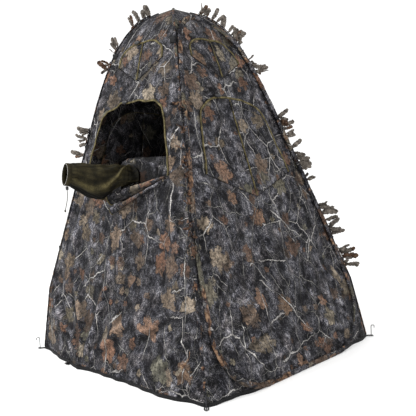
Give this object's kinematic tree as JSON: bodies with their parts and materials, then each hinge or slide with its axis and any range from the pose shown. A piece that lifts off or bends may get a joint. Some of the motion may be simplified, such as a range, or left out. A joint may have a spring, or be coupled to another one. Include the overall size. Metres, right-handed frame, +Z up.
{
  "type": "pop up ground blind",
  "caption": "Square fabric cabin on four sewn-in spring hoops, with zipped window flaps, a lens sleeve, a rear door and peg loops.",
  "frame": {"origin": "centre of the square of the four base corners, on the ground", "axes": "+Z up; -Y out through the front wall with the lens sleeve; +X out through the right-hand side wall"},
  "size_m": [1.3058, 1.3951, 1.7335],
  "materials": {
    "camo_cloth": "printed woven polyester, matt",
    "sleeve_cloth": "printed woven polyester, puckered",
    "flap_cloth": "printed woven polyester, matt",
    "piping_tape": "khaki grosgrain tape",
    "olive_cloth": "plain olive polyester",
    "leaf_cloth": "cut printed cloth leaves",
    "black_webbing": "woven black webbing",
    "cord": "braided grey cord",
    "spring_steel": "coated spring steel wire",
    "ferrule_steel": "crimped steel tube",
    "peg_steel": "blackened steel wire",
    "zip_slider": "black enamelled slider with a cord pull",
    "black_plastic": "moulded nylon"
  },
  "bodies": {
    "shell": {"corner_seams": "camo_cloth", "corner_tabs": "black_webbing", "crown_cap": "camo_cloth", "door_piping": "piping_tape", "garnish_back_left": "leaf_cloth", "garnish_back_right": "leaf_cloth", "garnish_front_left": "leaf_cloth", "garnish_front_right": "leaf_cloth", "hem_binding": "black_webbing", "hoop_back": "spring_steel", "hoop_ferrules": "ferrule_steel", "hoop_front": "spring_steel", "hoop_left": "spring_steel", "hoop_right": "spring_steel", "hoop_sleeve_back": "sleeve_cloth", "hoop_sleeve_front": "sleeve_cloth", "hoop_sleeve_left": "sleeve_cloth", "hoop_sleeve_right": "sleeve_cloth", "lens_panel": "flap_cloth", "peg_loops": "black_webbing", "wall_back": "camo_cloth", "wall_front": "camo_cloth", "wall_left": "camo_cloth", "wall_right": "camo_cloth", "window_piping_front": "piping_tape", "window_piping_left": "piping_tape", "window_piping_right": "piping_tape"},
    "front_rolled_flap_left": {"front_rolled_flap_left": "flap_cloth"},
    "front_upper_flap_left": {"front_upper_flap_left": "flap_cloth"},
    "front_rolled_flap_right": {"front_rolled_flap_right": "flap_cloth"},
    "front_upper_flap_right": {"front_upper_flap_right": "flap_cloth"},
    "front_upper_slider": {"front_upper_slider": "zip_slider"},
    "right_flap_left": {"right_flap_left": "flap_cloth"},
    "right_upper_flap_left": {"right_upper_flap_left": "flap_cloth"},
    "right_flap_right": {"right_flap_right": "flap_cloth"},
    "right_upper_flap_right": {"right_upper_flap_right": "flap_cloth"},
    "right_upper_slider": {"right_upper_slider": "zip_slider"},
    "right_slider": {"right_slider": "zip_slider"},
    "left_flap_left": {"left_flap_left": "flap_cloth"},
    "left_upper_flap_left": {"left_upper_flap_left": "flap_cloth"},
    "left_flap_right": {"left_flap_right": "flap_cloth"},
    "left_upper_flap_right": {"left_upper_flap_right": "flap_cloth"},
    "left_upper_slider": {"left_upper_slider": "zip_slider"},
    "left_slider": {"left_slider": "zip_slider"},
    "door_panel": {"door_panel": "flap_cloth"},
    "door_slider": {"door_slider": "zip_slider"},
    "lens_sleeve": {"lens_sleeve": "olive_cloth", "lens_mouth_hem": "olive_cloth", "drawcord": "cord", "cord_knot": "cord"},
    "cord_lock": {"cord_lock": "black_plastic"},
    "peg_front_right": {"peg_front_right": "peg_steel"},
    "peg_back_right": {"peg_back_right": "peg_steel"},
    "peg_back_left": {"peg_back_left": "peg_steel"},
    "peg_front_left": {"peg_front_left": "peg_steel"},
    "peg_front_hem": {"peg_front_hem": "peg_steel"}
  },
  "joints": [
    {"name": "front_rolled_flap_left_swing", "type": "hinge", "parent": "shell", "child": "front_rolled_flap_left", "pos_m": [-0.03142, -0.47122, 0.77], "axis": [0.936, -0.0754, -0.3438], "range_deg": [-8, 10]},
    {"name": "front_upper_flap_left_hinge", "type": "hinge", "parent": "shell", "child": "front_upper_flap_left", "pos_m": [-0.05451, -0.34569, 1.336], "axis": [0.8639, -0.1493, -0.481], "range_deg": [0, 150]},
    {"name": "front_rolled_flap_right_swing", "type": "hinge", "parent": "shell", "child": "front_rolled_flap_right", "pos_m": [-0.03142, -0.47122, 0.77], "axis": [0.9324, 0.0774, 0.353], "range_deg": [-8, 10]},
    {"name": "front_upper_flap_right_hinge", "type": "hinge", "parent": "shell", "child": "front_upper_flap_right", "pos_m": [-0.05451, -0.34569, 1.336], "axis": [0.8534, 0.1546, 0.4978], "range_deg": [0, 150]},
    {"name": "front_upper_slider_run", "type": "slide", "parent": "front_upper_flap_left", "child": "front_upper_slider", "axis": [0.0389, -0.2963, -0.9543], "range_m": [0, 0.1027]},
    {"name": "right_flap_left_hinge", "type": "hinge", "parent": "shell", "child": "right_flap_left", "pos_m": [0.40838, -0.03142, 0.77], "axis": [0.1032, 0.9337, -0.3429], "range_deg": [0, 150]},
    {"name": "right_upper_flap_left_hinge", "type": "hinge", "parent": "shell", "child": "right_upper_flap_left", "pos_m": [0.23667, -0.05451, 1.336], "axis": [0.1874, 0.8582, -0.4778], "range_deg": [0, 150]},
    {"name": "right_flap_right_hinge", "type": "hinge", "parent": "shell", "child": "right_flap_right", "pos_m": [0.40838, -0.03142, 0.77], "axis": [-0.1059, 0.9299, 0.3521], "range_deg": [0, 150]},
    {"name": "right_upper_flap_right_hinge", "type": "hinge", "parent": "shell", "child": "right_upper_flap_right", "pos_m": [0.23667, -0.05451, 1.336], "axis": [-0.1938, 0.8474, 0.4943], "range_deg": [0, 150]},
    {"name": "right_upper_slider_run", "type": "slide", "parent": "right_upper_flap_left", "child": "right_upper_slider", "axis": [0.3648, 0.038, -0.9303], "range_m": [0, 0.1053]},
    {"name": "right_slider_run", "type": "slide", "parent": "right_flap_left", "child": "right_slider", "axis": [0.2878, 0.039, -0.9569], "range_m": [0, 0.3805]},
    {"name": "left_flap_left_hinge", "type": "hinge", "parent": "shell", "child": "left_flap_left", "pos_m": [-0.47122, -0.03142, 0.77], "axis": [-0.0774, -0.9324, -0.353], "range_deg": [0, 150]},
    {"name": "left_upper_flap_left_hinge", "type": "hinge", "parent": "shell", "child": "left_upper_flap_left", "pos_m": [-0.34569, -0.05451, 1.336], "axis": [-0.1546, -0.8534, -0.4978], "range_deg": [0, 150]},
    {"name": "left_flap_right_hinge", "type": "hinge", "parent": "shell", "child": "left_flap_right", "pos_m": [-0.47122, -0.03142, 0.77], "axis": [0.0754, -0.936, 0.3438], "range_deg": [0, 150]},
    {"name": "left_upper_flap_right_hinge", "type": "hinge", "parent": "shell", "child": "left_upper_flap_right", "pos_m": [-0.34569, -0.05451, 1.336], "axis": [0.1493, -0.8639, 0.481], "range_deg": [0, 150]},
    {"name": "left_upper_slider_run", "type": "slide", "parent": "left_upper_flap_left", "child": "left_upper_slider", "axis": [-0.2963, 0.0389, -0.9543], "range_m": [0, 0.1027]},
    {"name": "left_slider_run", "type": "slide", "parent": "left_flap_left", "child": "left_slider", "axis": [-0.2139, 0.0398, -0.976], "range_m": [0, 0.373]},
    {"name": "door_hinge", "type": "hinge", "parent": "shell", "child": "door_panel", "pos_m": [0.26551, 0.60691, 0.11], "axis": [0.0731, 0.2873, -0.9551], "range_deg": [0, 120]},
    {"name": "door_slider_run", "type": "slide", "parent": "door_panel", "child": "door_slider", "axis": [-0.0049, -0.288, 0.9576], "range_m": [0, 0.7936]},
    {"name": "lens_sleeve_tilt", "type": "hinge", "parent": "shell", "child": "lens_sleeve", "pos_m": [-0.00533, -0.45017, 0.866], "axis": [-0.96, 0.28, 0], "range_deg": [-8, 10]},
    {"name": "cord_lock_run", "type": "slide", "parent": "lens_sleeve", "child": "cord_lock", "axis": [0, 0, -1], "range_m": [0, 0.03]},
    {"name": "peg_front_right_pull", "type": "slide", "parent": "shell", "child": "peg_front_right", "axis": [0, 0, 1], "range_m": [0, 0.08]},
    {"name": "peg_back_right_pull", "type": "slide", "parent": "shell", "child": "peg_back_right", "axis": [0, 0, 1], "range_m": [0, 0.08]},
    {"name": "peg_back_left_pull", "type": "slide", "parent": "shell", "child": "peg_back_left", "axis": [0, 0, 1], "range_m": [0, 0.08]},
    {"name": "peg_front_left_pull", "type": "slide", "parent": "shell", "child": "peg_front_left", "axis": [0, 0, 1], "range_m": [0, 0.08]},
    {"name": "peg_front_hem_pull", "type": "slide", "parent": "shell", "child": "peg_front_hem", "axis": [0, 0, 1], "range_m": [0, 0.08]}
  ]
}
